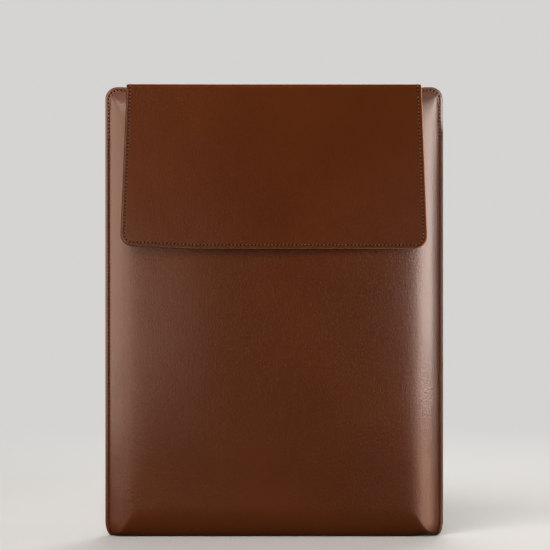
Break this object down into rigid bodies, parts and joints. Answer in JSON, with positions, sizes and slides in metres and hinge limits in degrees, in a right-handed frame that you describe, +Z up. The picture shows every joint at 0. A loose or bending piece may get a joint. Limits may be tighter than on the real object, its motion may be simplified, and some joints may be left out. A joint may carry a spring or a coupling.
{
  "type": "laptop sleeve",
  "caption": "Upright stitched leather laptop sleeve with a folded bottom, padded and lined, and a wide flap that closes over the mouth.",
  "frame": {"origin": "middle of the flat bottom fold, in the plane of the side seams", "axes": "+Z up towards the mouth, -Y towards the front with the flap, +X to the right seen from the front"},
  "size_m": [0.25, 0.031, 0.3339],
  "materials": {
    "brown_leather": "smooth fine grain, semi-gloss, cognac brown",
    "suede_lining": "brushed suede-like cloth, matt",
    "foam_padding": "matt closed-cell foam",
    "stiffening_board": "matt fibre board",
    "sewing_thread": "waxed twisted thread",
    "nickel_plate": "bright plated"
  },
  "bodies": {
    "sleeve": {"outer_shell": "brown_leather", "front_lining": "suede_lining", "back_lining": "suede_lining", "front_padding": "foam_padding", "back_padding": "foam_padding", "flap_anchor": "brown_leather", "seam_thread_front": "sewing_thread", "seam_thread_back": "sewing_thread", "flap_anchor_thread": "sewing_thread", "front_magnet_left": "nickel_plate", "front_magnet_right": "nickel_plate"},
    "bridge": {"bridge_leather": "brown_leather", "bridge_lining": "suede_lining", "bridge_thread_left": "sewing_thread", "bridge_thread_right": "sewing_thread"},
    "flap": {"flap_leather": "brown_leather", "flap_lining": "suede_lining", "flap_board": "stiffening_board", "flap_thread_outer": "sewing_thread", "flap_thread_inner": "sewing_thread", "flap_magnet_left": "nickel_plate", "flap_magnet_right": "nickel_plate"}
  },
  "joints": [
    {"name": "flap_lift", "type": "hinge", "parent": "sleeve", "child": "bridge", "pos_m": [0, 0.01199, 0.33164], "axis": [-1, 0, 0], "range_deg": [0, 175]},
    {"name": "flap_fold", "type": "hinge", "parent": "bridge", "child": "flap", "pos_m": [0, -0.01449, 0.33164], "axis": [-1, 0, 0], "range_deg": [0, 90]}
  ]
}
